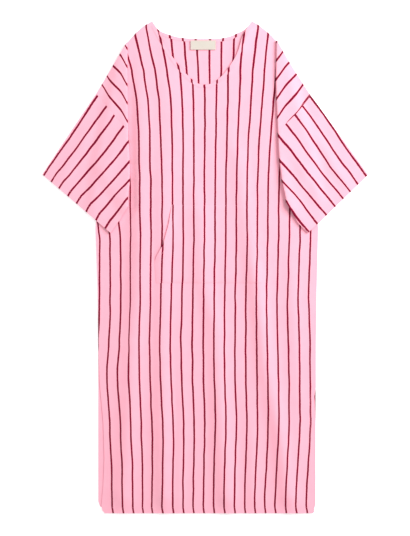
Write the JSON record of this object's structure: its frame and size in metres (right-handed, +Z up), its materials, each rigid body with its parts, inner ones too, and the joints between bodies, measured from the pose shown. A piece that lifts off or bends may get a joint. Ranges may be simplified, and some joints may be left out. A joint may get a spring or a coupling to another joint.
{
  "type": "kaftan dress",
  "caption": "Striped V-neck kaftan dress laid flat, with dropped sleeves folded down at a deep crease, a pouch pocket on the front and side slits at the hem.",
  "frame": {"origin": "centre of the dress's outline, on the surface that it lies on", "axes": "+X across the dress to the right as seen from above with the neck away, +Y from hem to neck, +Z up from the surface"},
  "size_m": [0.817, 1.229, 0.008],
  "materials": {
    "cotton": "matte",
    "label": "matte"
  },
  "bodies": {
    "root": {"front_panel": "cotton", "back_panel": "cotton", "sleeve_left": "cotton", "sleeve_right": "cotton", "pouch_pocket": "cotton", "neck_band_front": "cotton", "neck_band_back": "cotton", "neck_label": "label"}
  },
  "joints": []
}
